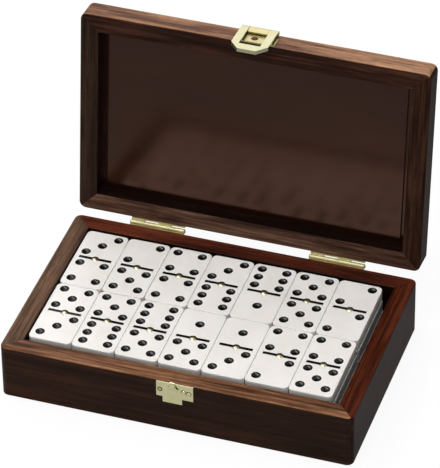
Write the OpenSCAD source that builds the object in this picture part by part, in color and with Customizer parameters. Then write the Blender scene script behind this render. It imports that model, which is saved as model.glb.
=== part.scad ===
// Hinged wooden storage box with a full load of dominoes.
// Frame: origin at the centre of the footprint, on the surface it stands on.
// +X is the right-hand side, -Y the front with the clasp, +Z up. The lid is drawn standing open.

/* [Box] */
// Outer width of the box, left to right
box_w = 203; // [200:1:220]
// Outer depth of the box, front to back
box_d = 126.5; // [124:0.5:140]
// Thickness of the mitred walls
wall_t = 10.7; // [9.5:0.1:11.5]
// Height of the base, floor to rim
base_h = 33.7; // [33.5:0.1:40]
// Height of the lid, rim to top
lid_h = 14.3; // [14:0.1:20]
// Radius of the four upright corners
corner_r = 4; // [2:0.5:4.5]
// Rounding of the rim's and the top's long edges
edge_r = 0.7; // [0.3:0.1:1.2]

/* [Panels] */
// Thickness of the bottom panel
bottom_t = 3.5; // [2.5:0.1:3.6]
// How far each panel reaches into the rabbet or groove of the walls
panel_bite = 4; // [2:0.5:5]
// Depth of the lid's hollow, from its rim to the raised field of the panel
lid_hollow = 7.9; // [6:0.1:8.2]
// Width of the sunk border round the raised field
field_border = 3.8; // [2:0.1:6]
// How far the border lies behind the raised field
field_step = 1.6; // [0.8:0.1:2]
// How far the panel's outer face lies below the lid's top edge
top_recess = 2; // [1.5:0.1:2.4]

/* [Lid travel] */
// Angle between the shut and the open lid
open_angle = 96.4; // [90:0.2:100]

/* [Hinges] */
// Distance of each hinge from the middle of the box
hinge_x = 53.5; // [45:0.5:70]
// Length of a hinge along its pin
hinge_len = 32; // [28:1:36]
// How far the pin's axis lies behind the back face
hinge_back = 2.9; // [2.8:0.1:3.2]
// How far the pin's axis lies below the seam
hinge_drop = 0.6; // [0.4:0.1:0.8]
// Outer radius of the knuckles
knuckle_r = 1.55; // [1.45:0.05:1.85]
// Radius of the hinge pin
pin_r = 0.8; // [0.6:0.05:0.9]
// Thickness of a hinge leaf
leaf_t = 1; // [0.8:0.05:1]
// Height of a hinge leaf on its wall
leaf_h = 9; // [8:0.5:9.5]

/* [Clasp] */
// Width of the clasp's flap
flap_w = 21.3; // [19:0.1:24]
// Height of the flap's pin above the seam
flap_pin_z = 12.6; // [12:0.1:12.8]
// Distance of the flap's pin from the front face
flap_pin_off = 1.75; // [1.7:0.05:2.2]
// Outer radius of the clasp's knuckles
clasp_r = 1.5; // [1.3:0.05:1.6]
// Radius of the clasp's pin
clasp_pin_r = 0.6; // [0.5:0.05:0.8]
// Thickness of the flap's sheet
flap_t = 0.9; // [0.7:0.05:1]
// Width of the flap's window
window_w = 12.4; // [10:0.1:14]
// How far the window reaches below the seam
window_drop = 7.4; // [6:0.1:8]
// How far the flap reaches below the seam
flap_drop = 13.3; // [12.5:0.1:14]
// Thickness of the sheet of the clasp's leaf and catch plate
plate_t = 0.8; // [0.6:0.05:0.9]
// Width of the catch plate
catch_w = 21.2; // [20.6:0.1:24]
// Height of the catch plate's wide part
catch_h = 9.8; // [9:0.1:11]
// Width of the tab below the catch plate's wide part
catch_tab_w = 11.2; // [8:0.1:12]
// How far the tab reaches below the wide part
catch_tab_h = 3.8; // [2:0.1:5]
// Width of the hook
hook_w = 3; // [2.4:0.1:4]

/* [Dominoes] */
// Width of a domino, where the box has room for it
tile_w = 24.8; // [24:0.05:25]
// Length of a domino, where the box has room for it
tile_l = 49.9; // [48:0.1:50.1]
// Thickness of a domino
tile_t = 7.2; // [6.6:0.05:7.3]
// Radius of a domino's upright corners
tile_corner = 3; // [1.5:0.1:4]
// Rounding of a domino's long edges
tile_edge = 0.8; // [0.4:0.05:1.2]
// Gap between two dominoes
tile_gap = 0.25; // [0.2:0.05:0.5]
// Gap between the first domino and the left wall
gap_left = 0.8; // [0.3:0.1:2]
// Gap between the back row and the back wall
gap_back = 1.35; // [0.5:0.05:2.5]
// Dominoes in a row
columns = 7; // [7:1:7]
// Radius of a pip
pip_r = 2.6; // [1.8:0.05:2.8]
// Depth of a pip
pip_depth = 0.5; // [0.3:0.05:0.8]
// Sideways distance of the outer pips from the middle line
pip_x = 7.1; // [6:0.1:8]
// Distance of the nearest pips from the divider
pip_near = 4.2; // [3.8:0.1:4.6]
// Distance from one row of pips to the next
pip_step = 7; // [6:0.1:7.4]
// Length of the divider groove
bar_l = 19.3; // [14:0.1:21]
// Width of the divider groove
bar_w = 2; // [1.2:0.1:2.2]
// Depth of the divider groove
bar_depth = 0.4; // [0.2:0.1:0.6]
// Radius of the spinner's domed head
spinner_r = 1.7; // [1.2:0.1:2]
// How far the spinner stands proud of the face
spinner_proud = 0.25; // [0.2:0.05:0.4]
// How far each layer of dominoes has slid to the right of the one above it
layer_slip = 0.4; // [0:0.1:0.6]

/* [Hidden] */
$fn = 48;

// Clearance of a screw or shank in its hole
fit = 0.02;
// Clearance of a pin in its knuckles
pin_fit = 0.05;
// Gap between two knuckles along a pin
knuckle_gap = 0.1;
// Gap between a thing that rests and what moves past it
clear = 0.3;
// Excess length of a cutting shape beyond the face that it cuts
over = 1;
// Rounding of the inner edges of rim and top
inner_edge_r = 0.5;

front_y = -box_d / 2;
back_y = box_d / 2;
cavity_w = box_w - 2 * wall_t;
cavity_d = box_d - 2 * wall_t;
hinge_y = back_y + hinge_back;
hinge_z = base_h - hinge_drop;

// The lid's groove, measured up from the seam
groove_low = lid_hollow + field_step;
groove_high = lid_h - top_recess;

// Hinge parts
knuckle_count = 4;
knuckle_l = hinge_len / knuckle_count;
web_reach = knuckle_r + 1.6;
hinge_screw_r = 0.8;
hinge_head_r = 1.5;
hinge_screw_l = 7;
hinge_screw_pitch = 11;
hinge_screw_z = web_reach + hinge_head_r + 0.9;
stop_gap = 0.06;
stop_reach = knuckle_r + 1.6;
stop_t = 1;
pin_head_r = 1.25;
pin_head_t = 0.5;

// Clasp parts, in heights above the seam and distances in front of the face
clasp_x = -0.4;
window_gap = 0.2;
leaf_w = flap_w + 2.7;
leaf_top = flap_pin_z - clasp_r - 2.8;
tongue_w = window_w - 2 * window_gap;
fold_z = flap_pin_z - 4;
flap_out = flap_pin_off + clasp_r;
// The flap's lower end: chamfered corners with a rim turned in towards the box
flap_side_z = 6.5 - flap_drop;
flap_end_w = flap_w - 10.7;
rim_off = plate_t + 0.25;
nail_r = 0.6;
nail_head_r = 1.05;
nail_head_t = 0.6;
nail_l = 6;
clasp_nail_x = leaf_w / 2 - 1.15;
clasp_nail_z = 1.6;
clasp_screw_x = -0.6;
clasp_screw_z = 4.4;
clasp_screw_head_r = 1.5;
// Sideways places of the catch: its wide part, its tab and its hook
catch_x = 0.8;
catch_tab_x = -0.6;
hook_x = 0;
catch_nail_pitch = catch_w - 4.7;
catch_nail_shift = -0.2;
catch_nail_z = -5.4;
hook_off = plate_t + clear;
hook_bend = 0.15;
hook_top = 1.9;
hook_tip = -1.5;
hook_foot = -4.6;
hook_spread = 3;

// Dominoes
layers = 4;
rows = 2;
layer_pitch = tile_t + spinner_proud + 0.05;
// Least gap from the top layer to the right wall, and from the front row to the front wall
gap_right = (layers - 1) * layer_slip + 0.3;
gap_front = 0.5;
// A domino fills at most its share of the hollow, as the load of a smaller box has smaller dominoes
size_w = min(tile_w, (cavity_w - gap_left - gap_right - (columns - 1) * tile_gap) / columns);
size_l = min(tile_l, (cavity_d - gap_back - gap_front - (rows - 1) * tile_gap) / rows);
tile_pitch_x = size_w + tile_gap;
tile_pitch_y = size_l + tile_gap;
first_x = -cavity_w / 2 + gap_left + size_w / 2;
back_row_y = cavity_d / 2 - gap_back - size_l / 2;
cup_r = spinner_r + 0.6;
cup_depth = 0.5;
shank_r = 0.8;
shank_l = 3;
// Values of the halves of the dominoes on top, back half first, from left to right
BACK_ROW = [[3, 4], [2, 5], [4, 4], [3, 6], [6, 1], [5, 5], [2, 2]];
FRONT_ROW = [[5, 3], [5, 6], [6, 5], [1, 5], [1, 3], [4, 2], [4, 5]];
TOP = concat(BACK_ROW, FRONT_ROW);
// Two double-six sets fill the box: what does not lie on top lies below
SETS = 2;
BELOW = [for (a = [0:6]) for (b = [a:6]) for (k = [1:1:SETS - shown(a, b)]) [a, b]];
shuffle = 5;

// How many of the dominoes on top carry the values a and b
function shown(a, b) = len([for (t = TOP) if (min(t) == min(a, b) && max(t) == max(a, b)) t]);
// Value pair of domino i in a lower layer
function value_below(layer, i) = BELOW[((layer - 2) * 2 * columns + i) * shuffle % len(BELOW)];
// Height of the underside of a layer, counted from the top
function layer_z(layer) = bottom_t + (layers - layer) * layer_pitch;
// Middle of a domino in a row
function tile_x(i) = first_x + (i - 1) * tile_pitch_x;
function row_y(row) = back_row_y - row * tile_pitch_y;
// Places of the pips of a value, as steps sideways and steps away from the divider
function pips(v) = v == 0 ? [] : v == 1 ? [[0, 1]] : v == 2 ? [[1, 2], [-1, 0]]
    : v == 3 ? concat(pips(2), pips(1)) : v == 4 ? concat(pips(2), [[-1, 2], [1, 0]])
    : v == 5 ? concat(pips(4), pips(1)) : concat(pips(4), [[-1, 1], [1, 1]]);
// A point on a knuckle's rim, measured from the side that faces the box
function rim_point(r, t) = [-r * cos(t), r * sin(t)];

// Waste outside a rounded corner at the origin
module nick(r) {
    difference() {
        translate([-over, -over]) square(r + over);
        translate([r, r]) circle(r);
    }
}

// Cross-section of a wall: outer face at 0, foot at 0, with the housing of its panel
module wall_section(h, low, high) {
    difference() {
        square([wall_t, h]);
        nick(edge_r);
        translate([0, h]) mirror([0, 1]) nick(edge_r);
        translate([wall_t, 0]) mirror([1, 0]) nick(inner_edge_r);
        translate([wall_t, h]) mirror([1, 0]) mirror([0, 1]) nick(inner_edge_r);
        translate([wall_t - panel_bite, low]) square([panel_bite + over, high - low]);
    }
}

// Cross-section of a round corner, from its axis outwards
module corner_section(h) {
    difference() {
        square([corner_r, h]);
        translate([corner_r, 0]) mirror([1, 0]) nick(edge_r);
        translate([corner_r, h]) mirror([1, 0]) mirror([0, 1]) nick(edge_r);
    }
}

// A wall along X, mitred at both ends, outer face on y = 0
module wall(length, h, low, high) {
    union() {
        intersection() {
            rotate([90, 0, 90]) linear_extrude(length - 2 * corner_r, center = true)
                wall_section(h, low, high);
            linear_extrude(h) polygon([[-length / 2, 0], [length / 2, 0],
                [length / 2 - wall_t, wall_t], [-length / 2 + wall_t, wall_t]]);
        }
        for (side = [0, 1]) mirror([side, 0, 0]) translate([length / 2 - corner_r, corner_r, 0])
            intersection() {
                rotate_extrude() corner_section(h);
                linear_extrude(h) polygon([[0, 0], [0, -2 * corner_r], [2 * corner_r, -2 * corner_r]]);
            }
    }
}

// Side of the box that a wall stands on, counted anticlockwise from the front
module on_side(side) {
    reach = side % 2 == 0 ? box_d / 2 : box_w / 2;
    rotate([0, 0, 90 * side]) translate([0, -reach, 0]) children();
}

module base_wall(side) {
    on_side(side) wall(side % 2 == 0 ? box_w : box_d, base_h, -over, bottom_t);
}

module lid_wall(side) {
    translate([0, 0, base_h]) on_side(side)
        wall(side % 2 == 0 ? box_w : box_d, lid_h, groove_low, groove_high);
}

// Turns what is modelled on the shut lid to where it stands open
module opened() {
    translate([0, hinge_y, hinge_z]) rotate([-open_angle, 0, 0]) translate([0, -hinge_y, -hinge_z])
        children();
}

// Countersunk screw pointing down from its flat top
module screw(r, head_r, l, gap) {
    head_h = head_r - r;
    union() {
        translate([0, 0, -head_h]) cylinder(h = head_h, r1 = r + gap, r2 = head_r + gap);
        translate([0, 0, -l]) cylinder(h = l - head_h, r = r + gap);
        translate([0, 0, -l - r]) cylinder(h = r, r1 = gap, r2 = r + gap);
    }
}

// Domed nail pointing down, the underside of its head at 0
module nail(head_r) {
    dome_r = (head_r * head_r + nail_head_t * nail_head_t) / (2 * nail_head_t);
    union() {
        intersection() {
            translate([0, 0, nail_head_t - dome_r]) sphere(dome_r);
            cylinder(h = 2 * nail_head_t, r = head_r);
        }
        translate([0, 0, -nail_l]) cylinder(h = nail_l + nail_head_t / 2, r = nail_r);
        translate([0, 0, -nail_l - nail_r]) cylinder(h = nail_r, r1 = 0.01, r2 = nail_r);
    }
}

// Hole of a nail, from above its plate to beyond its point
module nail_hole() {
    translate([0, 0, -nail_l - nail_r]) cylinder(h = nail_l + nail_r + over, r = nail_r + fit);
}

// Screw places of both hinges: side -1 for the leaves on the base, 1 for those on the lid
module at_hinge_screws(side) {
    for (hinge = [-1, 1]) for (i = [-1:1])
        translate([hinge * hinge_x + i * hinge_screw_pitch, back_y + leaf_t, hinge_z + side * hinge_screw_z])
            rotate([-90, 0, 0]) children();
}

module hinge_screw_cuts(side) {
    at_hinge_screws(side) screw(hinge_screw_r, hinge_head_r, hinge_screw_l, fit);
}

module hinge_screws(side) {
    at_hinge_screws(side) screw(hinge_screw_r, hinge_head_r, hinge_screw_l, 0);
}

// Places of the nails that hold the catch plate and the clasp's leaf
module at_catch_nails() {
    for (side = [-1, 1])
        translate([catch_x + catch_nail_shift + side * catch_nail_pitch / 2, front_y - plate_t,
            base_h + catch_nail_z]) rotate([90, 0, 0]) children();
}

module at_clasp_nails() {
    for (side = [-1, 1]) translate([clasp_x + side * clasp_nail_x, front_y - plate_t, base_h + clasp_nail_z])
        rotate([90, 0, 0]) children();
}

module at_clasp_screw() {
    translate([clasp_x + clasp_screw_x, front_y - plate_t, base_h + clasp_screw_z]) rotate([90, 0, 0])
        children();
}

// Cross-section of a knuckle with the web to its leaf: side -1 for the base, 1 for the lid
module knuckle_section(side) {
    mid_r = (knuckle_r + pin_r + pin_fit) / 2;
    leaf_face = leaf_t - hinge_back;
    difference() {
        union() {
            circle(knuckle_r);
            scale_y(side) polygon([[leaf_face - leaf_t / 2, hinge_drop + clear],
                [leaf_face - leaf_t / 2, web_reach], [leaf_face, web_reach],
                rim_point(knuckle_r, 80), rim_point(mid_r, 90), rim_point(mid_r, 0), rim_point(knuckle_r, 16)]);
        }
        circle(pin_r + pin_fit);
    }
}

// Flips a flat shape about the X axis for side -1
module scale_y(side) {
    mirror([0, side < 0 ? 1 : 0]) children();
}

// Fin that meets the base leaf when the lid stands open, drawn as it then hangs
module stop_section() {
    face = leaf_t - hinge_back + stop_gap;
    difference() {
        polygon([[face, -knuckle_r * 0.6], [face, -stop_reach], [face + stop_t * 0.6, -stop_reach],
            [face + stop_t * 1.7, -knuckle_r * 0.8], [-knuckle_r * 0.5, -knuckle_r * 0.5]]);
        circle(pin_r + pin_fit);
    }
}

// Extrudes a cross-section drawn round the hinge's axis over one knuckle
module over_knuckle(i) {
    translate([-hinge_len / 2 + (i + 0.5) * knuckle_l, 0, 0]) rotate([90, 0, 90])
        linear_extrude(knuckle_l - knuckle_gap, center = true) children();
}

// Flat leaf against the back, from just clear of the seam
module leaf_plate(side) {
    start = side < 0 ? hinge_drop - clear - leaf_h : hinge_drop + clear;
    translate([-hinge_len / 2, -hinge_back, start]) cube([hinge_len, leaf_t, leaf_h]);
}

module base_leaf(hinge) {
    difference() {
        translate([hinge * hinge_x, hinge_y, hinge_z]) union() {
            leaf_plate(-1);
            for (i = [1, 3]) over_knuckle(i) knuckle_section(-1);
        }
        hinge_screw_cuts(-1);
    }
}

module lid_leaf(hinge) {
    difference() {
        translate([hinge * hinge_x, hinge_y, hinge_z]) union() {
            leaf_plate(1);
            for (i = [0, 2]) over_knuckle(i) {
                knuckle_section(1);
                rotate(open_angle) stop_section();
            }
        }
        hinge_screw_cuts(1);
    }
}

module hinge_pin(hinge) {
    reach = hinge_len / 2 + knuckle_gap / 2;
    translate([hinge * hinge_x, hinge_y, hinge_z]) rotate([0, 90, 0]) union() {
        cylinder(h = 2 * reach, r = pin_r, center = true);
        for (side = [0, 1]) mirror([0, 0, side]) translate([0, 0, reach])
            cylinder(h = pin_head_t, r1 = pin_head_r, r2 = pin_r);
    }
}

// Rounded hook of the catch, as a cross-section with x against the face's outward distance
module hook_section() {
    bend_z = hook_top - plate_t - hook_bend;
    bend_off = hook_off + plate_t + hook_bend;
    union() {
        polygon([[0, hook_foot - 0.6], [plate_t, hook_foot - 0.6], [hook_off + plate_t, hook_foot + 3],
            [hook_off + plate_t, bend_z], [hook_off, bend_z], [hook_off, hook_foot + 3.2],
            [plate_t / 4, hook_foot]]);
        intersection() {
            translate([bend_off, bend_z]) difference() {
                circle(plate_t + hook_bend);
                circle(hook_bend);
            }
            translate([0, bend_z]) square(10);
        }
        translate([bend_off + hook_bend, hook_tip]) square([plate_t, bend_z - hook_tip]);
    }
}

// Extrudes a cross-section of outward distance and height along the box's width, about the place x
module across(w, x) {
    translate([x, front_y, base_h]) rotate([90, 0, -90]) linear_extrude(w, center = true) children();
}

// Extrudes an outline of sideways place and height outwards from the front face, between two distances
module outwards(x, low, high) {
    translate([x, front_y - low, base_h]) rotate([90, 0, 0]) linear_extrude(high - low) children();
}

// Outline of the flap's chamfered end up to a height, at an inset from its edges
module flap_end(inset, top) {
    run = (flap_w - flap_end_w) / 2;
    fall = flap_side_z + flap_drop;
    side_x = flap_w / 2 - inset * sqrt(run * run + fall * fall) / fall;
    end_x = side_x - run * (fall - inset) / fall;
    end_z = inset - flap_drop;
    polygon([[-side_x, top], [-side_x, flap_side_z], [-end_x, end_z], [end_x, end_z], [side_x, flap_side_z],
        [side_x, top]]);
}

// Cross-section of the leaf's tongue, wrapped over the pin with its end bent back
module tongue_section() {
    difference() {
        union() {
            translate([flap_pin_off, flap_pin_z]) circle(clasp_r);
            polygon([[0, leaf_top - over], [plate_t, leaf_top - over], [flap_pin_off - clasp_r + plate_t, leaf_top + 1.5],
                [flap_pin_off - clasp_r + plate_t, flap_pin_z], [flap_pin_off - clasp_r, flap_pin_z], [0, leaf_top + 1]]);
            polygon([[flap_out - plate_t, flap_pin_z], [flap_out, flap_pin_z], [flap_out - 0.9, fold_z],
                [flap_out - 0.9 - plate_t, fold_z]]);
        }
        translate([flap_pin_off, flap_pin_z]) circle(clasp_pin_r + pin_fit);
    }
}

// Sub-parts

module base_front_wall() {
    color([0.2, 0.12, 0.09]) difference() {
        base_wall(0);
        at_catch_nails() nail_hole();
    }
}

module base_right_wall() {
    color([0.26, 0.15, 0.1]) base_wall(1);
}

module base_back_wall() {
    color([0.24, 0.14, 0.1]) difference() {
        base_wall(2);
        hinge_screw_cuts(-1);
    }
}

module base_left_wall() {
    color([0.26, 0.15, 0.1]) base_wall(3);
}

module base_bottom_panel() {
    reach = 2 * panel_bite;
    color([0.28, 0.18, 0.12]) translate([-(cavity_w + reach) / 2, -(cavity_d + reach) / 2, 0])
        cube([cavity_w + reach, cavity_d + reach, bottom_t]);
}

module lid_front_wall() {
    color([0.3, 0.19, 0.14]) opened() difference() {
        lid_wall(0);
        at_clasp_nails() nail_hole();
        at_clasp_screw() nail_hole();
    }
}

module lid_right_wall() {
    color([0.24, 0.15, 0.11]) opened() lid_wall(1);
}

module lid_back_wall() {
    color([0.24, 0.15, 0.11]) opened() difference() {
        lid_wall(2);
        hinge_screw_cuts(1);
    }
}

module lid_left_wall() {
    color([0.24, 0.15, 0.11]) opened() lid_wall(3);
}

// Panel with a raised field towards the hollow and a tongue all round in the groove
module lid_top_panel() {
    reach = 2 * panel_bite;
    field_w = cavity_w - 2 * field_border;
    field_d = cavity_d - 2 * field_border;
    color([0.2, 0.13, 0.1]) opened() translate([0, 0, base_h]) union() {
        translate([-(cavity_w + reach) / 2, -(cavity_d + reach) / 2, groove_low])
            cube([cavity_w + reach, cavity_d + reach, groove_high - groove_low]);
        translate([-field_w / 2, -field_d / 2, lid_hollow]) cube([field_w, field_d, field_step + 0.5]);
    }
}

module left_hinge_base_leaf() {
    color([0.85, 0.8, 0.55]) base_leaf(-1);
}

module left_hinge_lid_leaf() {
    color([0.85, 0.8, 0.55]) opened() lid_leaf(-1);
}

module left_hinge_pin() {
    color([0.8, 0.74, 0.48]) hinge_pin(-1);
}

module right_hinge_base_leaf() {
    color([0.85, 0.8, 0.55]) base_leaf(1);
}

module right_hinge_lid_leaf() {
    color([0.85, 0.8, 0.55]) opened() lid_leaf(1);
}

module right_hinge_pin() {
    color([0.8, 0.74, 0.48]) hinge_pin(1);
}

module hinge_base_screws() {
    color([0.8, 0.74, 0.48]) hinge_screws(-1);
}

module hinge_lid_screws() {
    color([0.8, 0.74, 0.48]) opened() hinge_screws(1);
}

// Plate with a wide top, a narrower tab below and the hook bent up out of it
module catch_plate() {
    top = -clear;
    color([0.88, 0.84, 0.6]) difference() {
        union() {
            translate([catch_x - catch_w / 2, front_y - plate_t, base_h + top - catch_h])
                cube([catch_w, plate_t, catch_h]);
            translate([catch_tab_x - catch_tab_w / 2, front_y - plate_t, base_h + top - catch_h - catch_tab_h])
                cube([catch_tab_w, plate_t, catch_tab_h + over]);
            intersection() {
                across(hook_w + 2 * hook_spread, hook_x) hook_section();
                outwards(hook_x, -over, 2 * hook_off + 3 * plate_t) polygon([
                    [-hook_w / 2, 2 * hook_top], [-hook_w / 2, hook_tip], [-hook_w / 2 - hook_spread / 2, hook_foot],
                    [-hook_w / 2 - hook_spread / 2, 2 * hook_foot], [hook_w / 2 + hook_spread / 2, 2 * hook_foot],
                    [hook_w / 2 + hook_spread / 2, hook_foot], [hook_w / 2, hook_tip], [hook_w / 2, 2 * hook_top]]);
            }
        }
        at_catch_nails() nail_hole();
    }
}

module catch_nails() {
    color([0.8, 0.74, 0.48]) at_catch_nails() nail(nail_head_r);
}

module clasp_leaf() {
    color([0.88, 0.84, 0.6]) opened() difference() {
        union() {
            translate([clasp_x - leaf_w / 2, front_y - plate_t, base_h + clear])
                cube([leaf_w, plate_t, leaf_top - clear]);
            across(tongue_w, clasp_x) tongue_section();
        }
        at_clasp_nails() nail_hole();
        at_clasp_screw() nail_hole();
    }
}

module clasp_nails() {
    color([0.8, 0.74, 0.48]) opened() {
        at_clasp_nails() nail(nail_head_r);
        at_clasp_screw() nail(clasp_screw_head_r);
    }
}

module clasp_pin() {
    reach = flap_w / 2 + knuckle_gap;
    color([0.8, 0.74, 0.48]) opened()
        translate([clasp_x, front_y - flap_pin_off, base_h + flap_pin_z]) rotate([0, 90, 0]) union() {
            cylinder(h = 2 * reach, r = clasp_pin_r, center = true);
            for (side = [0, 1]) mirror([0, 0, side]) translate([0, 0, reach])
                cylinder(h = 0.4, r1 = clasp_pin_r + 0.35, r2 = clasp_pin_r);
        }
}

module clasp_flap() {
    color([0.9, 0.86, 0.62]) opened() difference() {
        union() {
            across(flap_w, clasp_x) translate([flap_pin_off, flap_pin_z]) circle(clasp_r);
            outwards(clasp_x, flap_out - flap_t, flap_out) flap_end(0, flap_pin_z);
            outwards(clasp_x, rim_off, flap_out) flap_end(0, flap_side_z);
        }
        outwards(clasp_x, 0, flap_out - flap_t) flap_end(flap_t, flap_side_z + over);
        translate([clasp_x - window_w / 2, front_y - flap_out - over, base_h - window_drop])
            cube([window_w, flap_out + 2 * over, window_drop + flap_pin_z + clasp_r + over]);
        translate([clasp_x, front_y - flap_pin_off, base_h + flap_pin_z]) rotate([0, 90, 0])
            cylinder(h = 2 * flap_w, r = clasp_pin_r + pin_fit, center = true);
    }
}

// Cross-section of a domino, centred on its width, with round long edges
module tile_section(w) {
    difference() {
        translate([-w / 2, 0]) square([w, tile_t]);
        for (side = [0, 1]) mirror([side, 0]) translate([-w / 2, 0]) {
            nick(tile_edge);
            translate([0, tile_t]) mirror([0, 1]) nick(tile_edge);
        }
    }
}

// Blank of a domino: round upright corners and soft edges all round
module tile_blank() {
    union() {
        rotate([90, 0, 90]) linear_extrude(size_w - 2 * tile_corner, center = true) tile_section(size_l);
        rotate([90, 0, 0]) linear_extrude(size_l - 2 * tile_corner, center = true) tile_section(size_w);
        for (sx = [-1, 1]) for (sy = [-1, 1])
            translate([sx * (size_w / 2 - tile_corner), sy * (size_l / 2 - tile_corner), 0])
                rotate_extrude() intersection() {
                    tile_section(2 * tile_corner);
                    square([2 * tile_corner, tile_t]);
                }
    }
}

// Hollows of one half's pips
module pip_cuts(v) {
    ball_r = (pip_r * pip_r + pip_depth * pip_depth) / (2 * pip_depth);
    for (p = pips(v)) translate([p[0] * pip_x, bar_w / 2 + pip_near + p[1] * pip_step, tile_t - pip_depth + ball_r])
        sphere(ball_r);
}

// A domino with its values a at the back and b at the front
module domino(a, b) {
    difference() {
        tile_blank();
        pip_cuts(a);
        rotate(180) pip_cuts(b);
        translate([-bar_l / 2, -bar_w / 2, tile_t - bar_depth]) cube([bar_l, bar_w, bar_depth + over]);
        translate([0, 0, tile_t - cup_depth]) cylinder(h = cup_depth + over, r = cup_r);
        translate([0, 0, tile_t - cup_depth - shank_l]) cylinder(h = shank_l + over, r = shank_r + fit);
    }
}

// Brass rivet with a domed head, its head on the floor of the domino's cup
module spinner() {
    rise = cup_depth + spinner_proud;
    dome_r = (spinner_r * spinner_r + rise * rise) / (2 * rise);
    translate([0, 0, tile_t - cup_depth]) union() {
        intersection() {
            translate([0, 0, rise - dome_r]) sphere(dome_r);
            cylinder(h = 2 * rise, r = spinner_r);
        }
        translate([0, 0, -shank_l]) cylinder(h = shank_l + rise / 2, r = shank_r);
    }
}

// Place in the top layer: row 0 at the back, row 1 in front
module on_top(row, i) {
    translate([tile_x(i), row_y(row), layer_z(1)]) children();
}

module top_domino(row, i) {
    values = row == 0 ? BACK_ROW[i - 1] : FRONT_ROW[i - 1];
    color([0.93, 0.91, 0.87]) on_top(row, i) domino(values[0], values[1]);
}

module top_spinner(row, i) {
    color([0.8, 0.72, 0.42]) on_top(row, i) spinner();
}

// Places of all the dominoes of a lower layer
module domino_layer(layer) {
    color([0.93, 0.91, 0.87]) for (row = [0, 1]) for (i = [1:columns]) {
        values = value_below(layer, row * columns + i - 1);
        translate([tile_x(i) + (layer - 1) * layer_slip, row_y(row), layer_z(layer)])
            domino(values[0], values[1]);
    }
}

module spinner_layer(layer) {
    color([0.8, 0.72, 0.42]) for (row = [0, 1]) for (i = [1:columns])
        translate([tile_x(i) + (layer - 1) * layer_slip, row_y(row), layer_z(layer)]) spinner();
}

base_front_wall();
base_back_wall();
base_left_wall();
base_right_wall();
base_bottom_panel();
lid_front_wall();
lid_back_wall();
lid_left_wall();
lid_right_wall();
lid_top_panel();
left_hinge_base_leaf();
left_hinge_lid_leaf();
left_hinge_pin();
right_hinge_base_leaf();
right_hinge_lid_leaf();
right_hinge_pin();
hinge_base_screws();
hinge_lid_screws();
catch_plate();
catch_nails();
clasp_leaf();
clasp_nails();
clasp_pin();
clasp_flap();
top_domino(0, 1);  // domino_back_1
top_domino(0, 2);  // domino_back_2
top_domino(0, 3);  // domino_back_3
top_domino(0, 4);  // domino_back_4
top_domino(0, 5);  // domino_back_5
top_domino(0, 6);  // domino_back_6
top_domino(0, 7);  // domino_back_7
top_domino(1, 1);  // domino_front_1
top_domino(1, 2);  // domino_front_2
top_domino(1, 3);  // domino_front_3
top_domino(1, 4);  // domino_front_4
top_domino(1, 5);  // domino_front_5
top_domino(1, 6);  // domino_front_6
top_domino(1, 7);  // domino_front_7
top_spinner(0, 1);  // spinner_back_1
top_spinner(0, 2);  // spinner_back_2
top_spinner(0, 3);  // spinner_back_3
top_spinner(0, 4);  // spinner_back_4
top_spinner(0, 5);  // spinner_back_5
top_spinner(0, 6);  // spinner_back_6
top_spinner(0, 7);  // spinner_back_7
top_spinner(1, 1);  // spinner_front_1
top_spinner(1, 2);  // spinner_front_2
top_spinner(1, 3);  // spinner_front_3
top_spinner(1, 4);  // spinner_front_4
top_spinner(1, 5);  // spinner_front_5
top_spinner(1, 6);  // spinner_front_6
top_spinner(1, 7);  // spinner_front_7
domino_layer(2);  // dominoes_layer_2
domino_layer(3);  // dominoes_layer_3
domino_layer(4);  // dominoes_layer_4
spinner_layer(2);  // spinners_layer_2
spinner_layer(3);  // spinners_layer_3
spinner_layer(4);  // spinners_layer_4
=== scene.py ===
import math

import bmesh
import bpy
from mathutils import Euler, Matrix, Vector


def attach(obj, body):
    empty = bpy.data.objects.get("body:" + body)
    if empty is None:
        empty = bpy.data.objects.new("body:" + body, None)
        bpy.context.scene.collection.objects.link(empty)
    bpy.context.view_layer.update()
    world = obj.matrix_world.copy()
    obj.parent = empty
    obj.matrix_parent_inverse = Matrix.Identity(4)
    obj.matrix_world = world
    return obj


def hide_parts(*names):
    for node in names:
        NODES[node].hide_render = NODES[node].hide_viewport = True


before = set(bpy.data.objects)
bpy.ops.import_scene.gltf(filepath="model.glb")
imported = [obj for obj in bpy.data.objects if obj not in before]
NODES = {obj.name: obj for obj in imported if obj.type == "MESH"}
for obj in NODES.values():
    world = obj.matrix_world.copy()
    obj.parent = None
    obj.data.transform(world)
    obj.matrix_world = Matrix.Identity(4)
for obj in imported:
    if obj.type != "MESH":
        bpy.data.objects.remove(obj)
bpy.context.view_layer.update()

MM = 0.001

# Sizes of the box in millimetres, as the solids have them
BOX_W, BOX_D, BASE_H, WALL_T, BOTTOM_T = 203.0, 126.5, 33.7, 10.7, 3.5
HINGE_BACK, HINGE_DROP, OPEN_ANGLE = 2.9, 0.6, 96.4
HINGE_Y, HINGE_Z = BOX_D / 2 + HINGE_BACK, BASE_H - HINGE_DROP
PLATE_T = 0.8

# Widths of the bevels that make edges catch the light, and the least angle of such an edge in degrees
WOOD_EDGE, PANEL_EDGE, METAL_EDGE, EDGE_ANGLE = 0.15, 0.6, 0.1, 38

# Dominoes: body, pips, divider, rivet and their places
TILE_W, TILE_L, TILE_T, TILE_CORNER, TILE_EDGE = 24.8, 49.9, 7.2, 3.0, 0.35
PIP_R, PIP_DEPTH, PIP_X, PIP_NEAR, PIP_STEP = 2.7, 1.1, 7.25, 4.2, 7.25
BAR_L, BAR_W, BAR_DEPTH, CUP_R = 19.3, 2.0, 0.45, 2.15
SPIN_R, SPIN_PROUD = 1.9, 0.25
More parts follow.
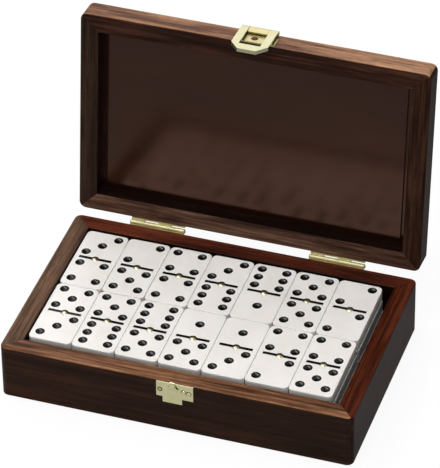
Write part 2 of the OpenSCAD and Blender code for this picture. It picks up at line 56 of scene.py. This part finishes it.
# Shares of the radius at which the hollow of a pip and a domed head have their rings
PIP_RINGS, DOME_RINGS = (0.93, 0.8, 0.64, 0.46, 0.24), (0.97, 0.86, 0.68, 0.45, 0.2)
# The marks of each domino sit a little off its middle, towards the hinges
ART_SHIFT = 0.85
COLUMNS, LAYERS, LAYER_PITCH, SLIP = 7, 4, 7.5, 0.4
PER_LAYER = 2 * COLUMNS
TILE_GAP, GAP_LEFT, GAP_BACK = 0.25, 0.8, 1.35
FIRST_X = -(BOX_W / 2 - WALL_T) + GAP_LEFT + TILE_W / 2
BACK_Y = BOX_D / 2 - WALL_T - GAP_BACK - TILE_L / 2
# Pips of the top layer, each domino's end at the hinges first, from left to right
BACK_ROW = [(3, 4), (2, 5), (4, 4), (3, 6), (6, 1), (5, 5), (2, 2)]
FRONT_ROW = [(5, 3), (5, 6), (6, 5), (1, 5), (1, 3), (4, 2), (4, 5)]
MOST_PIPS, SETS = 6, 2
# Step through the dominoes that are left, which mixes the lower layers
SHUFFLE = 5

# Heads on the catch plate as x, height over the rim, radius and rise, and the dark rings round them,
# painted shadow, as x, height over the rim, radius and thickness
CATCH_HEADS = ((-7.65, -5.4, 0.9, 0.3), (8.85, -5.4, 1.4, 0.9), (5.9, -5.1, 1.5, 1.1))
CATCH_SHADE_RINGS = ((-7.65, -5.4, 1.45, 0.06), (8.85, -5.25, 1.6, 0.05), (5.9, -4.95, 1.65, 0.05))
# Black patches right and left of the hook, painted shade at its root, as corners in x and height over the
# rim
HOOK_SHADES = (((1.1, -3.4), (3.6, -3.2), (1.1, -1.3)), ((-3.1, -2.2), (-1.0, -3.2), (-1.0, -2.1)))
SLOT_T = 0.04
# How far a ring or a slot reaches into the plate, so that no gap shows
SUNK = 0.2
# Nails and middle screw of the clasp's leaf, as heights over the seam and sizes of their heads
CLASP_X, CLASP_NAIL_X, CLASP_NAIL_Z, CLASP_NAIL_R, CLASP_NAIL_RISE = -0.4, 9.5, 1.6, 1.05, 0.6
SCREW_X, SCREW_Z, SCREW_R, SCREW_RISE = CLASP_X - 0.6, 4.4, 2.05, 0.45
# Black cross on the screw head, painted shade where its slot lies
CROSS_L, CROSS_W, CROSS_LOW, CROSS_HIGH, CROSS_ANGLES = 2.2, 0.5, 0.1, 0.48, (20, 110)


# Directions

UP = (0.0, 0.0, 1.0)
LEFT, RIGHT, FRONT, BACK = (-1.0, 0.0, 0.0), (1.0, 0.0, 0.0), (0.0, -1.0, 0.0), (0.0, 1.0, 0.0)
TURN = math.radians(-OPEN_ANGLE)


def opened(way):
    "A direction on the shut lid, as it lies on the open lid"
    turned = Vector(way)
    turned.rotate(Matrix.Rotation(TURN, 3, "X"))
    return tuple(turned)


LID_RIM_WAY = opened((0.0, 0.0, -1.0))
LID_FRONT, LID_BACK = opened(FRONT), opened(BACK)


# Colours of the wood as dark, middle and light, for each wall's outside, rim and hollow: lit and shaded
# copies of one walnut, whose tones differ by the way each face looks and so carry painted light and shade

SIDE_BASE = ("1E1009", "2E1B13", "40271B")
# Painted shade: the right-hand wall's outside is darker than the other walls
SIDE_RIGHT = ("1C0F0A", "281812", "3A261C")
# Painted shade: the inner walls of the hollows are near black
HOLLOW_SHADE = ("0B0504", "120907", "1C0F0B")
BOTTOM = ("2A1A13", "3C281D", "4E3728")
# Painted light: the rims face up and are much lighter than the outsides, and each rim has tones of its own
RIM_FRONT = ("3E2313", "724C34", "9E7050")
RIM_LEFT = ("2C1A11", "523B2B", "74543F")
# Painted shade: the rims at the right and back are darker than those at the front and left
RIM_RIGHT = ("260D05", "421A0C", "5C2C1A")
RIM_BACK = ("2C1009", "4A2014", "652F1E")
# Painted light: the lid's front wall, which faces up on the open lid, is far lighter than the base's front
# wall
LID_TOP_LIT = ("503024", "8C644A", "B08462")
# The lid's rims and outsides have tones of their own for each face, painted light and shade
LID_RIM_TOP = ("1A0D08", "331C14", "503125")
LID_RIM_LEFT = ("150C08", "281B13", "3C2B21")
LID_RIM_RIGHT = ("190D09", "301D15", "483024")
LID_RIM_LOW = ("2E1D15", "563C30", "7E5E4C")
LID_SIDE = ("1C120E", "281B15", "382A22")
PANEL = ("170905", "200E08", "2A140C")
# Painted highlight on the bevelled edges of the panel's field
PANEL_EDGE_HIGHLIGHT = "A07C64"
PORE = "1A0D08"
# Colour that the brown lacquer gives to what it reflects, on the walls and on the polished panel
LACQUER = (1.0, 0.66, 0.52, 1.0)
PANEL_LACQUER = (1.0, 0.55, 0.42, 1.0)
# How the noises are drawn out: cells per metre along the grain, and across it both ways
BANDS, STREAKS, PORES = (9.0, 85.0, 85.0), (22.0, 480.0, 480.0), (150.0, 3600.0, 3600.0)
PANEL_BANDS, PANEL_STREAKS = (7.0, 60.0, 60.0), (30.0, 420.0, 420.0)
# How strongly the lacquer reflects: the walls at the right show no sheen in the photo
GLOSS, DULL = 0.16, 0.05


# Materials

def srgb(code):
    "A colour written as RRGGBB, as the linear values that a shader takes"
    parts = [int(code[i:i + 2], 16) / 255 for i in (0, 2, 4)]
    return tuple(c / 12.92 if c <= 0.04045 else ((c + 0.055) / 1.055) ** 2.4 for c in parts) + (1.0,)


class Graph:
    "The node tree of a material or world, with short calls for what this scene uses"

    def __init__(self, owner, output):
        self.owner = owner
        owner.use_nodes = True
        self.tree = owner.node_tree
        self.tree.nodes.clear()
        self.out = self.tree.nodes.new("ShaderNode" + output)

    def node(self, kind, inputs=None, **props):
        n = self.tree.nodes.new("ShaderNode" + kind)
        for name, value in props.items():
            setattr(n, name, value)
        for name, value in (inputs or {}).items():
            if isinstance(value, bpy.types.NodeSocket):
                self.tree.links.new(value, n.inputs[name])
            else:
                n.inputs[name].default_value = value
        return n

    def end(self, shader):
        "Makes a shader the result of the tree, and gives the material or world back"
        self.tree.links.new(shader.outputs[0], self.out.inputs["Surface"])
        return self.owner

    def surface(self, inputs):
        return self.end(self.node("BsdfPrincipled", inputs))

    def coords(self, kind):
        return self.node("TexCoord").outputs[kind]

    def math(self, op, a, b=0.0, clamp=False):
        return self.node("Math", {0: a, 1: b}, operation=op, use_clamp=clamp).outputs[0]

    def scaled(self, value, factor, offset):
        "value x factor + offset"
        return self.math("ADD", self.math("MULTIPLY", value, factor), offset)

    def blend(self, a, b, share):
        "share of a and the rest of b"
        return self.math("ADD", self.math("MULTIPLY", a, share), self.math("MULTIPLY", b, 1.0 - share))

    def step(self, value, least, slope):
        "0 up to least and then rising by slope to 1"
        return self.math("MULTIPLY", self.math("SUBTRACT", value, least), slope, True)

    def ramp(self, fac, stops):
        n = self.node("ValToRGB", {"Fac": fac})
        while len(n.color_ramp.elements) < len(stops):
            n.color_ramp.elements.new(0.5)
        for element, (place, colour) in zip(n.color_ramp.elements, stops):
            element.position = place
            element.color = srgb(colour)
        return n.outputs["Color"]

    def noise(self, vector, scale, detail, rough, distort=0.0):
        n = self.node("TexNoise", {"Vector": vector, "Scale": scale, "Detail": detail, "Roughness": rough,
                                   "Distortion": distort})
        return n.outputs["Fac"]

    def drawn_noise(self, vector, stretch, detail, rough, distort=0.0):
        "Noise whose cells are drawn out along the grain"
        drawn = self.node("Mapping", {"Vector": vector, "Scale": stretch}).outputs[0]
        return self.noise(drawn, 1.0, detail, rough, distort)

    def dot(self, way):
        "How far each face looks along a direction, in the piece's own coordinates"
        inputs = {0: self.coords("Normal"), 1: way}
        return self.node("VectorMath", inputs, operation="DOT_PRODUCT").outputs["Value"]

    def mix(self, fac, first, second):
        "Mixed colour: a Mix node takes its colours at inputs 6 and 7 and gives the result at output 2"
        return self.node("Mix", {0: fac, 6: first, 7: second}, data_type="RGBA").outputs[2]

    def bump(self, height, strength, distance):
        return self.node("Bump", {"Height": height, "Strength": strength, "Distance": distance}).outputs[0]


def material(name):
    return Graph(bpy.data.materials.new(name), "OutputMaterial")


def grain_vector(m, along, turn=0.0, shift=(0.0, 0.0, 0.0)):
    "Object coordinates turned so that X runs along the grain"
    quarter = math.radians(90) if along == "y" else 0.0
    first = m.node("Mapping", {"Vector": m.coords("Object"), "Rotation": (math.radians(turn), 0.0, 0.0),
                               "Location": shift})
    return m.node("Mapping", {"Vector": first.outputs[0], "Rotation": (0.0, 0.0, quarter)}).outputs[0]


def wood_stops(tones):
    return list(zip((0.4, 0.5, 0.6), tones))


def wood(name, along, side, rim=None, turn=0.0, shift=(0.0, 0.0, 0.0), rim_way=None, hollow_way=None,
         gloss=GLOSS):
    """Stained walnut, its grain along x or y and turned with the lid. side and rim are the tones of the
    outside and of the rim, which carry painted light and shade. rim_way is the way the rim faces, painted
    lighter as light, and hollow_way the way the hollow's wall faces, painted near black as shade."""
    rough, rough_swing = 0.34, 0.16
    m = material(name)
    v = grain_vector(m, along, turn, shift)
    band = m.drawn_noise(v, BANDS, 3.0, 0.5, 0.6)
    streak = m.drawn_noise(v, STREAKS, 5.0, 0.65, 0.35)
    pore = m.drawn_noise(v, PORES, 2.0, 0.6)
    tone = m.blend(band, streak, 0.4)
    colour = m.ramp(tone, wood_stops(side))
    # Painted light: faces that look along rim_way get the lighter tones of the rim
    if rim_way is not None:
        facing = m.step(m.dot(rim_way), 0.35, 3.0)
        colour = m.mix(facing, colour, m.ramp(tone, wood_stops(rim)))
    # Painted shade: faces that look along hollow_way get the near-black hollow tones
    if hollow_way is not None:
        facing = m.step(m.dot(hollow_way), 0.6, 5.0)
        colour = m.mix(facing, colour, m.ramp(tone, wood_stops(HOLLOW_SHADE)))
    pores = m.step(pore, 0.54, 7.0)
    colour = m.mix(m.math("MULTIPLY", pores, 0.65), colour, srgb(PORE))
    height = m.math("SUBTRACT", m.math("MULTIPLY", streak, 0.5), m.math("MULTIPLY", pores, 0.5))
    return m.surface({"Base Color": colour, "Roughness": m.scaled(streak, rough_swing, rough),
                      "Normal": m.bump(height, 0.35, 0.00012), "Specular IOR Level": gloss,
                      "Specular Tint": LACQUER})


def panel_wood():
    "The lid's inner panel: dark and polished, so that it mirrors the dominoes softly, with lighter edges"
    m = material("panel_wood")
    v = grain_vector(m, "x", OPEN_ANGLE - 90)
    band = m.drawn_noise(v, PANEL_BANDS, 4.0, 0.55, 0.5)
    streak = m.drawn_noise(v, PANEL_STREAKS, 4.0, 0.6, 0.3)
    colour = m.ramp(m.blend(band, streak, 0.6), list(zip((0.36, 0.5, 0.66), PANEL)))
    # Painted highlight: bevel faces between the field and its border, neither flat nor steep, get a light
    # brown
    tilt = m.math("SUBTRACT", 1.0, m.math("ABSOLUTE", m.dot(LID_RIM_WAY)))
    tilted = m.math("MULTIPLY", tilt, 12.0, True)
    not_steep = m.math("MULTIPLY", m.math("SUBTRACT", 0.8, tilt), 6.0, True)
    colour = m.mix(m.math("MULTIPLY", tilted, not_steep), colour, srgb(PANEL_EDGE_HIGHLIGHT))
    return m.surface({"Base Color": colour, "Roughness": m.scaled(band, 0.08, 0.12),
                      "Normal": m.bump(streak, 0.12, 0.00005), "Specular IOR Level": 0.85,
                      "Specular Tint": PANEL_LACQUER})


def brass(name, light, dark, rough):
    "Sheet brass with a faint cloud of wear"
    m = material(name)
    cloud = m.noise(m.coords("Object"), 160.0, 3.0, 0.5)
    fine = m.noise(m.coords("Object"), 900.0, 2.0, 0.5)
    colour = m.ramp(m.blend(cloud, fine, 0.7), [(0.3, dark), (0.7, light)])
    return m.surface({"Base Color": colour, "Metallic": 1.0, "Roughness": m.scaled(cloud, 0.1, rough)})


def ivory():
    "The white of the dominoes, a little translucent"
    m = material("ivory_plastic")
    cloud = m.noise(m.coords("Object"), 55.0, 3.0, 0.5)
    dust = m.noise(m.coords("Object"), 900.0, 3.0, 0.6)
    colour = m.ramp(cloud, [(0.3, "E7E2DD"), (0.7, "F0ECE8")])
    return m.surface({"Base Color": colour, "Roughness": m.scaled(dust, 0.08, 0.26),
                      "Normal": m.bump(dust, 0.05, 0.00003), "Subsurface Weight": 0.4,
                      "Subsurface Scale": 0.003, "Subsurface Radius": (1.0, 0.88, 0.82)})


def black_paint():
    "Glossy black of the pips and dividers"
    m = material("black_paint")
    cloud = m.noise(m.coords("Object"), 700.0, 3.0, 0.5)
    colour = m.ramp(cloud, [(0.3, "060505"), (0.7, "110E0D")])
    return m.surface({"Base Color": colour, "Roughness": m.scaled(cloud, 0.05, 0.05),
                      "Specular IOR Level": 0.5})


WOODS = {
    "base_front_wall": wood("wood_base_front", "x", SIDE_BASE, RIM_FRONT, shift=(0.31, 0.0, 0.0),
                            rim_way=UP, hollow_way=BACK),
    "base_left_wall": wood("wood_base_left", "y", SIDE_BASE, RIM_LEFT, shift=(0.0, 0.17, 0.0),
                           rim_way=UP, hollow_way=RIGHT),
    "base_right_wall": wood("wood_base_right", "y", SIDE_RIGHT, RIM_RIGHT, shift=(0.0, 0.43, 0.0),
                            rim_way=UP, hollow_way=LEFT, gloss=DULL),
    "base_back_wall": wood("wood_base_back", "x", SIDE_BASE, RIM_BACK, shift=(0.77, 0.0, 0.0),
                           rim_way=UP, hollow_way=FRONT),
    "base_bottom_panel": wood("wood_bottom", "x", BOTTOM, shift=(0.2, 0.5, 0.0)),
    "lid_front_wall": wood("wood_lid_front", "x", LID_TOP_LIT, LID_RIM_TOP, OPEN_ANGLE, (0.13, 0.0, 0.0),
                           rim_way=LID_RIM_WAY, hollow_way=LID_BACK),
    "lid_back_wall": wood("wood_lid_back", "x", LID_SIDE, LID_RIM_LOW, OPEN_ANGLE, (0.53, 0.0, 0.0),
                          rim_way=LID_RIM_WAY, hollow_way=LID_FRONT),
    "lid_left_wall": wood("wood_lid_left", "y", LID_SIDE, LID_RIM_LEFT, OPEN_ANGLE, (0.0, 0.61, 0.0),
                          rim_way=LID_RIM_WAY, hollow_way=RIGHT),
    "lid_right_wall": wood("wood_lid_right", "y", LID_SIDE, LID_RIM_RIGHT, OPEN_ANGLE, (0.0, 0.29, 0.0),
                           rim_way=LID_RIM_WAY, hollow_way=LEFT, gloss=DULL),
}
BRASS = brass("brass", "FBF6C8", "EEE8B2", 0.22)
BRASS_FLAP = brass("brass_flap", "E0DCB8", "D4CFA6", 0.24)
BRASS_LEAF = brass("brass_leaf", "D9D0A0", "C8BC86", 0.26)
BRASS_HINGE = brass("brass_hinge", "E6DDB0", "CFC58E", 0.4)
BRASS_RIVET = brass("brass_rivet", "EAE3BE", "D2C894", 0.24)
BRASS_SCREW = brass("brass_screw", "7A4A1C", "3A220C", 0.34)
IVORY = ivory()
BLACK = black_paint()


# The solids of the frame

def dress(node, mat, bevel=0.0):
    "Gives a node of the frame its material and, where asked, edges that catch the light"
    o = NODES[node]
    o.data.materials.clear()
    o.data.materials.append(mat)
    if bevel:
        mod = o.modifiers.new("edges", "BEVEL")
        mod.width = bevel * MM
        mod.segments = 2
        mod.limit_method = "ANGLE"
        mod.angle_limit = math.radians(EDGE_ANGLE)
        mod.harden_normals = False


for node, mat in WOODS.items():
    dress(node, mat, WOOD_EDGE)
dress("lid_top_panel", panel_wood(), PANEL_EDGE)
dress("catch_plate", BRASS, METAL_EDGE)
dress("clasp_leaf", BRASS_LEAF, METAL_EDGE)
dress("clasp_flap", BRASS_FLAP, METAL_EDGE)
for node in ("clasp_pin", "catch_nails", "clasp_nails"):
    dress(node, BRASS)
for node in ("left_hinge_base_leaf", "left_hinge_lid_leaf", "left_hinge_pin", "right_hinge_base_leaf",
             "right_hinge_lid_leaf", "right_hinge_pin", "hinge_base_screws", "hinge_lid_screws"):
    dress(node, BRASS_HINGE)


# Mesh building, in millimetres

def circle(cx, cy, r, n):
    turns = [2 * math.pi * i / n for i in range(n)]
    return [(cx + r * math.cos(t), cy + r * math.sin(t)) for t in turns]


def bar(length, width, angle):
    "Rectangle round the origin, turned by an angle in degrees"
    c, s = math.cos(math.radians(angle)), math.sin(math.radians(angle))
    corners = [(-length / 2, -width / 2), (length / 2, -width / 2), (length / 2, width / 2),
               (-length / 2, width / 2)]
    return [(x * c - y * s, x * s + y * c) for x, y in corners]


def ring(bm, place, outline, z):
    "Adds an outline's points at a height"
    return [bm.verts.new(place @ (Vector((x, y, z)) * MM)) for x, y in outline]


def bridge(bm, low, high, mat=0):
    "Joins two rings by a smooth band of faces"
    n = len(low)
    for i in range(n):
        f = bm.faces.new((low[i], low[(i + 1) % n], high[(i + 1) % n], high[i]))
        f.material_index = mat
        f.smooth = True


def fan(bm, rim, place, centre, mat=0):
    "Closes a ring with smooth triangles to a point"
    n = len(rim)
    tip = bm.verts.new(place @ (Vector(centre) * MM))
    for i in range(n):
        f = bm.faces.new((rim[i], rim[(i + 1) % n], tip))
        f.material_index = mat
        f.smooth = True


def loop_edges(bm, verts):
    "The edges round a ring, made where they are missing"
    pairs = zip(verts, verts[1:] + verts[:1])
    return [bm.edges.get(pair) or bm.edges.new(pair) for pair in pairs]


def new_object(name, bm, mats):
    me = bpy.data.meshes.new(name)
    bm.normal_update()
    bm.to_mesh(me)
    bm.free()
    for mat in mats:
        me.materials.append(mat)
    o = bpy.data.objects.new(name, me)
    bpy.context.scene.collection.objects.link(o)
    return o


def dome(bm, place, r, rise, n=24):
    "Adds a domed head whose flat foot lies at the place's origin and whose axis is its Z"
    ball = (r ** 2 + rise ** 2) / (2 * rise)
    last = ring(bm, place, circle(0.0, 0.0, r, n), 0.0)
    bm.faces.new(list(reversed(last)))
    for f in DOME_RINGS:
        z = rise - ball + math.sqrt(ball * ball - (r * f) ** 2)
        inner = ring(bm, place, circle(0.0, 0.0, r * f, n), z)
        bridge(bm, last, inner)
        last = inner
    fan(bm, last, place, (0.0, 0.0, rise))


def prism(bm, place, outline, low, high):
    "Adds a straight prism over an anticlockwise outline"
    foot = ring(bm, place, outline, low)
    top = ring(bm, place, outline, high)
    bm.faces.new(list(reversed(foot)))
    bm.faces.new(top)
    n = len(foot)
    for i in range(n):
        bm.faces.new((foot[i], foot[(i + 1) % n], top[(i + 1) % n], top[i]))


# Dominoes

def pips(value):
    "Places of the pips on half a domino, as steps sideways and steps away from the divider"
    diagonal = [(1, 2), (-1, 0)]
    other = [(-1, 2), (1, 0)]
    middle = [(0, 1)]
    return {0: [], 1: middle, 2: diagonal, 3: diagonal + middle, 4: diagonal + other,
            5: diagonal + other + middle, 6: diagonal + other + [(-1, 1), (1, 1)]}[value]


def tile_outline(inset, n=7):
    "Rounded rectangle of a domino at an inset, anticlockwise"
    hw, hl, r = TILE_W / 2 - TILE_CORNER, TILE_L / 2 - TILE_CORNER, TILE_CORNER - inset
    pts = []
    for k, (sx, sy) in enumerate(((1, 1), (-1, 1), (-1, -1), (1, -1))):
        for i in range(n + 1):
            a = math.radians(90 * k + 90 * i / n)
            pts.append((sx * hw + r * math.cos(a), sy * hl + r * math.sin(a)))
    return pts


def divider(n=10):
    "Outline of the black divider: a bar that widens to a cup round the rivet, anticlockwise"
    half, meet = BAR_W / 2, math.asin(BAR_W / 2 / CUP_R)
    arc = [meet + (math.pi - 2 * meet) * i / n for i in range(n + 1)]
    over = [(BAR_L / 2, -half), (BAR_L / 2, half)]
    over += [(CUP_R * math.cos(t), CUP_R * math.sin(t)) for t in arc]
    under = [(-x, -y) for x, y in over]
    return [(x, y + ART_SHIFT) for x, y in over + under]


def tile_blank(bm, place, steps=4):
    "Adds a domino's body, open at the top, and gives the ring that bounds its upper face"
    turns = [math.radians(90 * i / steps) for i in range(steps + 1)]
    edge = [(TILE_EDGE * (1 - math.sin(t)), TILE_EDGE * (1 - math.cos(t))) for t in turns]
    levels = edge + [(inset, TILE_T - z) for inset, z in reversed(edge)]
    rings = [ring(bm, place, tile_outline(inset), z) for inset, z in levels]
    for low, high in zip(rings, rings[1:]):
        bridge(bm, low, high)
    bm.faces.new(list(reversed(rings[0]))).smooth = True
    return rings[-1]


def pip_hollow(bm, place, cx, cy, n=24):
    "Adds the black hollow of a pip and gives its rim"
    rim = ring(bm, place, circle(cx, cy, PIP_R, n), TILE_T)
    ball = (PIP_R ** 2 + PIP_DEPTH ** 2) / (2 * PIP_DEPTH)
    last = rim
    for f in PIP_RINGS:
        z = TILE_T - PIP_DEPTH + ball - math.sqrt(ball * ball - (PIP_R * f) ** 2)
        inner = ring(bm, place, circle(cx, cy, PIP_R * f, n), z)
        bridge(bm, inner, last, 1)
        last = inner
    fan(bm, last, place, (cx, cy, TILE_T - PIP_DEPTH), 1)
    return rim


def add_tile(bm, a, b, at):
    "Adds one domino with a pips at the back and b at the front: ivory body, black pips and divider"
    place = Matrix.Translation(Vector(at) * MM)
    top_edges = loop_edges(bm, tile_blank(bm, place))
    sharp = []
    for value, side in ((a, 1), (b, -1)):
        for ix, iy in pips(value):
            y = ART_SHIFT + side * (BAR_W / 2 + PIP_NEAR + iy * PIP_STEP)
            sharp.extend(loop_edges(bm, pip_hollow(bm, place, side * ix * PIP_X, y)))
    rim = ring(bm, place, divider(), TILE_T)
    foot = ring(bm, place, divider(), TILE_T - BAR_DEPTH)
    sharp.extend(loop_edges(bm, rim))
    top_edges.extend(sharp)
    bridge(bm, foot, rim, 1)
    bm.faces.new(foot).material_index = 1
    sharp.extend(loop_edges(bm, foot))
    made = bmesh.ops.triangle_fill(bm, use_beauty=True, use_dissolve=False, edges=top_edges, normal=UP)
    for f in made["geom"]:
        if isinstance(f, bmesh.types.BMFace):
            f.smooth = True
            if f.normal.z < 0:
                f.normal_flip()
    for e in sharp:
        e.smooth = False


def make_tiles(name, items):
    "One object of dominoes, each given as its pips at the back and front and its place"
    bm = bmesh.new()
    for a, b, at in items:
        add_tile(bm, a, b, at)
    o = new_object(name, bm, [IVORY, BLACK])
    mod = o.modifiers.new("shade", "WEIGHTED_NORMAL")
    mod.keep_sharp = True
    mod.weight = 80
    return o


def make_rivets(name, places):
    "One object of domed brass rivet heads"
    bm = bmesh.new()
    for x, y, z in places:
        foot = Matrix.Translation(Vector((x, y + ART_SHIFT, z + TILE_T - BAR_DEPTH)) * MM)
        dome(bm, foot, SPIN_R, BAR_DEPTH + SPIN_PROUD)
    return new_object(name, bm, [BRASS_RIVET])


def tile_at(column, row, layer):
    x = FIRST_X + column * (TILE_W + TILE_GAP) + (layer - 1) * SLIP
    y = BACK_Y - row * (TILE_L + TILE_GAP)
    z = BOTTOM_T + (LAYERS - layer) * LAYER_PITCH
    return (x, y, z)


for row, (side, values) in enumerate((("back", BACK_ROW), ("front", FRONT_ROW))):
    for i, (a, b) in enumerate(values):
        place = tile_at(i, row, 1)
        body = "tile_%s_%d" % (side, i + 1)
        tile = make_tiles("tile_%s_%d_look" % (side, i + 1), [(a, b, place)])
        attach(tile, body)
        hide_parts("domino_%s_%d" % (side, i + 1))
        rivet = make_rivets("rivet_%s_%d_look" % (side, i + 1), [place])
        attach(rivet, body)
        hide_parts("spinner_%s_%d" % (side, i + 1))

# Two sets of dominoes, less those on top, make the lower layers
shown = [tuple(sorted(v)) for v in BACK_ROW + FRONT_ROW]
kinds = [(a, b) for a in range(MOST_PIPS + 1) for b in range(a, MOST_PIPS + 1)]
below = [kind for kind in kinds for _ in range(SETS - shown.count(kind))]
for layer in range(2, LAYERS + 1):
    items = []
    for k in range(PER_LAYER):
        a, b = below[((layer - 2) * PER_LAYER + k) * SHUFFLE % len(below)]
        items.append((a, b, tile_at(k % COLUMNS, k // COLUMNS, layer)))
    tiles = make_tiles("tiles_layer_%d_look" % layer, items)
    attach(tiles, "base")
    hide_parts("dominoes_layer_%d" % layer)
    rivets = make_rivets("rivets_layer_%d_look" % layer, [place for _, _, place in items])
    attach(rivets, "base")
    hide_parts("spinners_layer_%d" % layer)


# Heads of the nails and of the middle screw

def on_catch(x, z):
    "A place on the face of the catch plate, z over the base's rim, its Z pointing out"
    place = Vector((x, -BOX_D / 2 - PLATE_T, BASE_H + z)) * MM
    return Matrix.Translation(place) @ Matrix.Rotation(math.pi / 2, 4, "X")


def on_clasp(x, z):
    "A place on the face of the clasp's leaf on the open lid, z over the seam of the shut box"
    pin = Vector((0.0, HINGE_Y, HINGE_Z)) * MM
    swing = Matrix.Translation(pin) @ Matrix.Rotation(TURN, 4, "X") @ Matrix.Translation(-pin)
    return swing @ on_catch(x, z)


bm = bmesh.new()
for x, z, r, rise in CATCH_HEADS:
    dome(bm, on_catch(x, z), r, rise)
nails = new_object("catch_nails_look", bm, [BRASS])
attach(nails, "base")
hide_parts("catch_nails")

# Black rings round the heads and black patches beside the hook: painted shade on the catch plate
bm = bmesh.new()
for x, z, r, thick in CATCH_SHADE_RINGS:
    prism(bm, on_catch(x, z), circle(0.0, 0.0, r, 20), -SUNK, thick)
for corners in HOOK_SHADES:
    prism(bm, on_catch(0.0, 0.0), corners, -SUNK, SLOT_T)
slots = new_object("catch_shades_look", bm, [BLACK])
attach(slots, "base")

bm = bmesh.new()
for side in (-1, 1):
    dome(bm, on_clasp(CLASP_X + side * CLASP_NAIL_X, CLASP_NAIL_Z), CLASP_NAIL_R, CLASP_NAIL_RISE)
nails = new_object("clasp_nails_look", bm, [BRASS])
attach(nails, "lid")
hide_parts("clasp_nails")

bm = bmesh.new()
dome(bm, on_clasp(SCREW_X, SCREW_Z), SCREW_R, SCREW_RISE)
screw = new_object("clasp_screw_look", bm, [BRASS_SCREW])
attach(screw, "lid")

# Painted shade: black bars on the screw head where its cross slot lies
bm = bmesh.new()
for angle in CROSS_ANGLES:
    prism(bm, on_clasp(SCREW_X, SCREW_Z), bar(CROSS_L, CROSS_W, angle), CROSS_LOW, CROSS_HIGH)
cross = new_object("clasp_screw_cross_shade", bm, [BLACK])
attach(cross, "lid")


# Floor, light and camera

# Half the floor's width, in metres
FLOOR_HALF = 3.0
# Share of the light that the floor throws back, and share of the eye's view of it that is plain white
FLOOR_BOUNCE, FLOOR_GLOW = 0.3, 0.9
# How much of the white floor a reflection shows, near the box and further off, and the distances in metres
# between which it fades: the lid's lacquer mirrors the ground further off and shows little of it
GLOSSY_NEAR, GLOSSY_FAR, GLOSSY_REACH = 0.32, 0.05, (0.13, 0.17)
STUDIO_LIGHT, STUDIO_WHITE = 0.45, 1.0
WHITE = (1.0, 1.0, 1.0, 1.0)


def floor_material():
    "White to the eye with the object's shadow kept faint, and part white in reflections"
    m = material("floor_white")
    path = m.node("LightPath").outputs
    away = m.node("VectorMath", {0: m.coords("Object")}, operation="LENGTH").outputs["Value"]
    share = m.node("MapRange", {"Value": away, "From Min": GLOSSY_REACH[0], "From Max": GLOSSY_REACH[1],
                                "To Min": GLOSSY_NEAR, "To Max": GLOSSY_FAR}).outputs[0]
    seen = m.math("MAXIMUM", path["Is Camera Ray"], path["Is Transmission Ray"])
    seen = m.math("MAXIMUM", seen, m.math("MULTIPLY", path["Is Glossy Ray"], share))
    bounce = (FLOOR_BOUNCE, FLOOR_BOUNCE, FLOOR_BOUNCE, 1.0)
    diffuse = m.node("BsdfDiffuse", {"Color": m.mix(path["Is Camera Ray"], bounce, WHITE)})
    glow = m.node("Emission", {"Color": WHITE, "Strength": 1.0})
    fac = m.math("MULTIPLY", seen, FLOOR_GLOW)
    return m.end(m.node("MixShader", {0: fac, 1: diffuse.outputs[0], 2: glow.outputs[0]}))


def studio_world():
    "Soft grey light from all round, and plain white behind the object"
    w = Graph(bpy.data.worlds.new("studio"), "OutputWorld")
    path = w.node("LightPath").outputs
    seen = w.math("MAXIMUM", path["Is Camera Ray"], path["Is Transmission Ray"])
    light = w.node("Background", {"Color": WHITE, "Strength": STUDIO_LIGHT})
    white = w.node("Background", {"Color": WHITE, "Strength": STUDIO_WHITE})
    return w.end(w.node("MixShader", {0: seen, 1: light.outputs[0], 2: white.outputs[0]}))


bm = bmesh.new()
bmesh.ops.create_grid(bm, x_segments=2, y_segments=2, size=FLOOR_HALF)
floor = new_object("floor", bm, [floor_material()])
bpy.context.scene.world = studio_world()


def area_light(name, place, aim, size, power, mirrored=True):
    "A lamp of size metres that looks at aim; an unmirrored one doesn't show in reflections"
    data = bpy.data.lights.new(name, "AREA")
    data.shape = "RECTANGLE"
    data.size, data.size_y = size
    data.energy = power
    o = bpy.data.objects.new(name, data)
    bpy.context.scene.collection.objects.link(o)
    o.location = place
    o.rotation_euler = (Vector(aim) - Vector(place)).to_track_quat("-Z", "Y").to_euler()
    o.visible_glossy = mirrored


LOW_AIM, HIGH_AIM = (0.0, 0.0, 0.03), (0.0, 0.0, 0.05)
area_light("overhead", place=(0.05, -0.3, 1.1), aim=LOW_AIM, size=(1.1, 0.9), power=3.2, mirrored=False)
area_light("back_top", place=(-0.35, 0.9, 0.95), aim=HIGH_AIM, size=(1.7, 1.1), power=5.5)
area_light("front_fill", place=(0.5, -1.0, 0.6), aim=HIGH_AIM, size=(0.6, 0.4), power=1.0)
area_light("spark_left", place=(-0.45, 0.05, 0.9), aim=LOW_AIM, size=(0.26, 0.26), power=1.9)
area_light("spark_right", place=(-0.02, -0.2, 1.0), aim=LOW_AIM, size=(0.26, 0.26), power=1.9)

# Camera: the photograph's place in metres, its turn in degrees, and its lens and frame in pixels
CAMERA_PLACE = (0.540451, -1.576126, 1.382452)
CAMERA_TURN = (52.0891, 0.5747, 18.2319)
PHOTO_W, PHOTO_H = 440.0, 468.0
FOCAL, CENTRE_X, CENTRE_Y = 3861.438, 222.257, 240.061
SENSOR = 36.0
cam_data = bpy.data.cameras.new("photo_camera")
cam_data.sensor_fit = "HORIZONTAL"
cam_data.sensor_width = SENSOR
cam_data.lens = FOCAL * SENSOR / PHOTO_W
cam_data.shift_x = (PHOTO_W / 2 - CENTRE_X) / PHOTO_W
cam_data.shift_y = (CENTRE_Y - PHOTO_H / 2) / PHOTO_W
cam_data.clip_start = 0.05
cam_data.clip_end = 20.0
cam = bpy.data.objects.new("photo_camera", cam_data)
bpy.context.scene.collection.objects.link(cam)
cam.location = CAMERA_PLACE
cam.rotation_euler = Euler([math.radians(a) for a in CAMERA_TURN])
bpy.context.scene.camera = cam
bpy.context.scene.view_settings.view_transform = "Standard"

bpy.context.view_layer.update()
